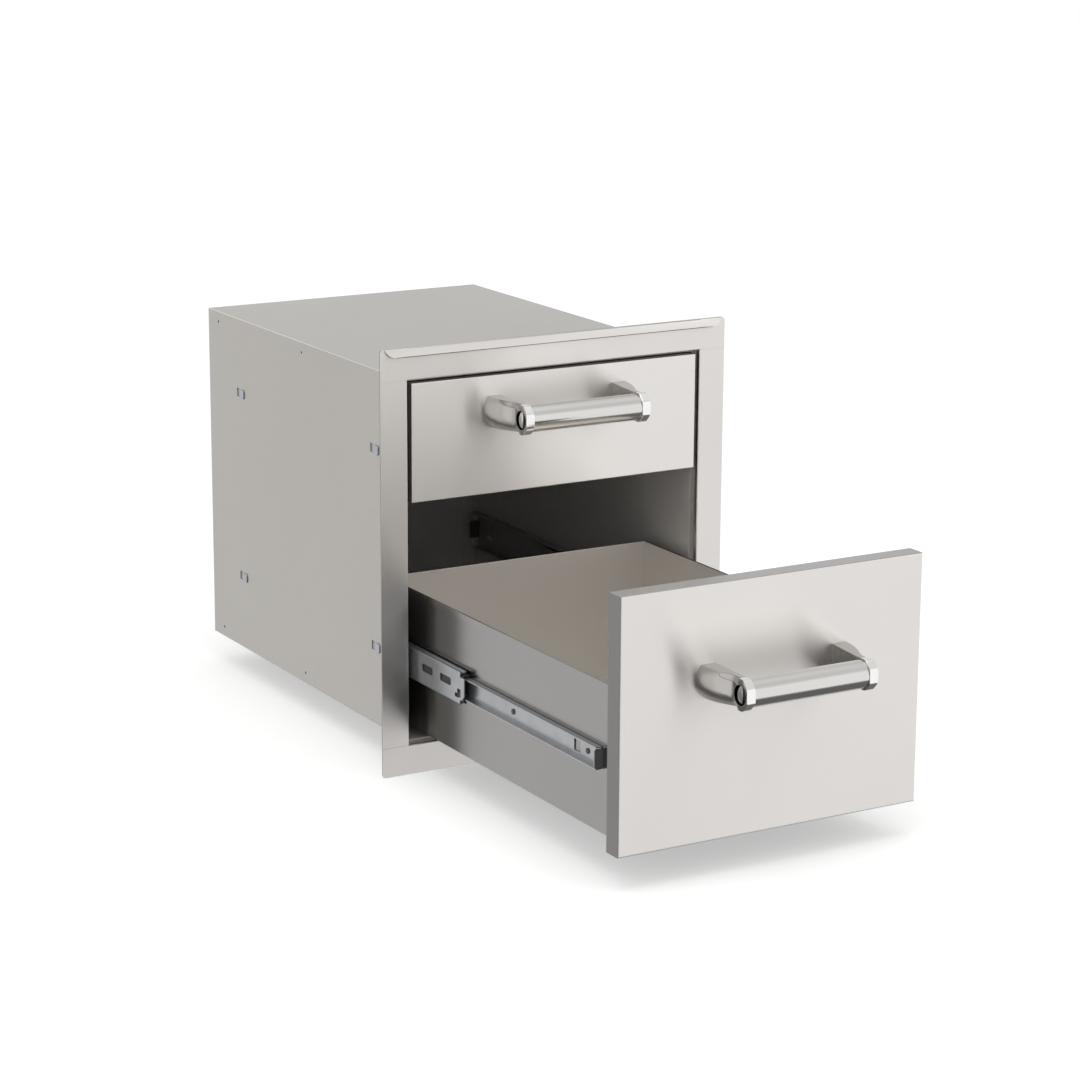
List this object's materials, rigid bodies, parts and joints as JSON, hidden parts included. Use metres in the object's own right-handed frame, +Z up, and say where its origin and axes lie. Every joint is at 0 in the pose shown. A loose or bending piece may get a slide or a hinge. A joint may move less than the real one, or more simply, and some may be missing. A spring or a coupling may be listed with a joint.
{
  "type": "outdoor kitchen drawer unit",
  "caption": "Built-in stainless steel drawer cabinet with a flanged face frame, ball-bearing slides and bar handles.",
  "frame": {"origin": "middle of the face frame's bottom edge, on the frame's back face, where it seats on the island's wall", "axes": "+X to the right seen from the front, +Y back into the island, +Z up; the drawers pull out along -Y"},
  "size_m": [0.43, 1.0074, 0.47],
  "materials": {
    "brushed_stainless": "fine horizontal brushing",
    "satin_stainless": "plain satin mill finish",
    "zinc_steel": "bright zinc plating, slightly blue",
    "polished_chrome": "polished",
    "satin_cast_handle": "satin casting",
    "brushed_bar": "brushed along the bar",
    "fastener_steel": "plain",
    "cage_plastic": "black moulded",
    "bumper_rubber": "black"
  },
  "bodies": {
    "cabinet": {"frame_top_rail": "brushed_stainless", "frame_bottom_rail": "brushed_stainless", "frame_left_stile": "brushed_stainless", "frame_right_stile": "brushed_stainless", "cabinet_left_side": "satin_stainless", "cabinet_right_side": "satin_stainless", "cabinet_top": "satin_stainless", "cabinet_bottom": "satin_stainless", "cabinet_back": "satin_stainless", "lower_left_cabinet_rail": "zinc_steel", "lower_right_cabinet_rail": "zinc_steel", "upper_left_cabinet_rail": "zinc_steel", "upper_right_cabinet_rail": "zinc_steel", "rail_rear_stops": "bumper_rubber"},
    "lower_drawer": {"lower_front_skin": "brushed_stainless", "lower_front_liner": "satin_stainless", "lower_box_front": "satin_stainless", "lower_box_left_side": "satin_stainless", "lower_box_right_side": "satin_stainless", "lower_box_back": "satin_stainless", "lower_box_bottom": "satin_stainless", "lower_left_drawer_rail": "zinc_steel", "lower_right_drawer_rail": "zinc_steel", "lower_rail_rivets": "fastener_steel", "lower_handle_left_arm": "satin_cast_handle", "lower_handle_right_arm": "satin_cast_handle", "lower_handle_left_collar": "polished_chrome", "lower_handle_right_collar": "polished_chrome", "lower_handle_bar": "brushed_bar", "lower_handle_plugs": "polished_chrome", "lower_handle_screws": "fastener_steel"},
    "lower_middle_rails": {"lower_left_middle_rail": "zinc_steel", "lower_right_middle_rail": "zinc_steel"},
    "lower_outer_bearings": {"lower_outer_cages": "zinc_steel", "lower_outer_balls": "polished_chrome"},
    "lower_inner_bearings": {"lower_inner_cages": "cage_plastic", "lower_inner_balls": "polished_chrome"},
    "upper_drawer": {"upper_front_skin": "brushed_stainless", "upper_front_liner": "satin_stainless", "upper_box_front": "satin_stainless", "upper_box_left_side": "satin_stainless", "upper_box_right_side": "satin_stainless", "upper_box_back": "satin_stainless", "upper_box_bottom": "satin_stainless", "upper_left_drawer_rail": "zinc_steel", "upper_right_drawer_rail": "zinc_steel", "upper_rail_rivets": "fastener_steel", "upper_handle_left_arm": "satin_cast_handle", "upper_handle_right_arm": "satin_cast_handle", "upper_handle_left_collar": "polished_chrome", "upper_handle_right_collar": "polished_chrome", "upper_handle_bar": "brushed_bar", "upper_handle_plugs": "polished_chrome", "upper_handle_screws": "fastener_steel"},
    "upper_middle_rails": {"upper_left_middle_rail": "zinc_steel", "upper_right_middle_rail": "zinc_steel"},
    "upper_outer_bearings": {"upper_outer_cages": "zinc_steel", "upper_outer_balls": "polished_chrome"},
    "upper_inner_bearings": {"upper_inner_cages": "cage_plastic", "upper_inner_balls": "polished_chrome"}
  },
  "joints": [
    {"name": "lower_drawer_slide", "type": "slide", "parent": "cabinet", "child": "lower_drawer", "axis": [0, -1, 0], "range_m": [-0.4256, 0.02439]},
    {"name": "lower_middle_slide", "type": "slide", "parent": "cabinet", "child": "lower_middle_rails", "axis": [0, -1, 0], "range_m": [-0.16348, 0.00942]},
    {"name": "lower_outer_bearing_slide", "type": "slide", "parent": "cabinet", "child": "lower_outer_bearings", "axis": [0, -1, 0], "range_m": [-0.08177, 0.00473]},
    {"name": "lower_inner_bearing_slide", "type": "slide", "parent": "cabinet", "child": "lower_inner_bearings", "axis": [0, -1, 0], "range_m": [-0.29457, 0.01693]},
    {"name": "upper_drawer_slide", "type": "slide", "parent": "cabinet", "child": "upper_drawer", "axis": [0, -1, 0], "range_m": [0, 0.45]},
    {"name": "upper_middle_slide", "type": "slide", "parent": "cabinet", "child": "upper_middle_rails", "axis": [0, -1, 0], "range_m": [0, 0.17285]},
    {"name": "upper_outer_bearing_slide", "type": "slide", "parent": "cabinet", "child": "upper_outer_bearings", "axis": [0, -1, 0], "range_m": [0, 0.08645]},
    {"name": "upper_inner_bearing_slide", "type": "slide", "parent": "cabinet", "child": "upper_inner_bearings", "axis": [0, -1, 0], "range_m": [0, 0.31145]}
  ],
  "couplings": [
    {"joint": "lower_middle_slide", "follows": "lower_drawer_slide", "ratio": 0.384},
    {"joint": "lower_outer_bearing_slide", "follows": "lower_drawer_slide", "ratio": 0.192},
    {"joint": "lower_inner_bearing_slide", "follows": "lower_drawer_slide", "ratio": 0.692},
    {"joint": "upper_middle_slide", "follows": "upper_drawer_slide", "ratio": 0.384},
    {"joint": "upper_outer_bearing_slide", "follows": "upper_drawer_slide", "ratio": 0.192},
    {"joint": "upper_inner_bearing_slide", "follows": "upper_drawer_slide", "ratio": 0.692}
  ]
}
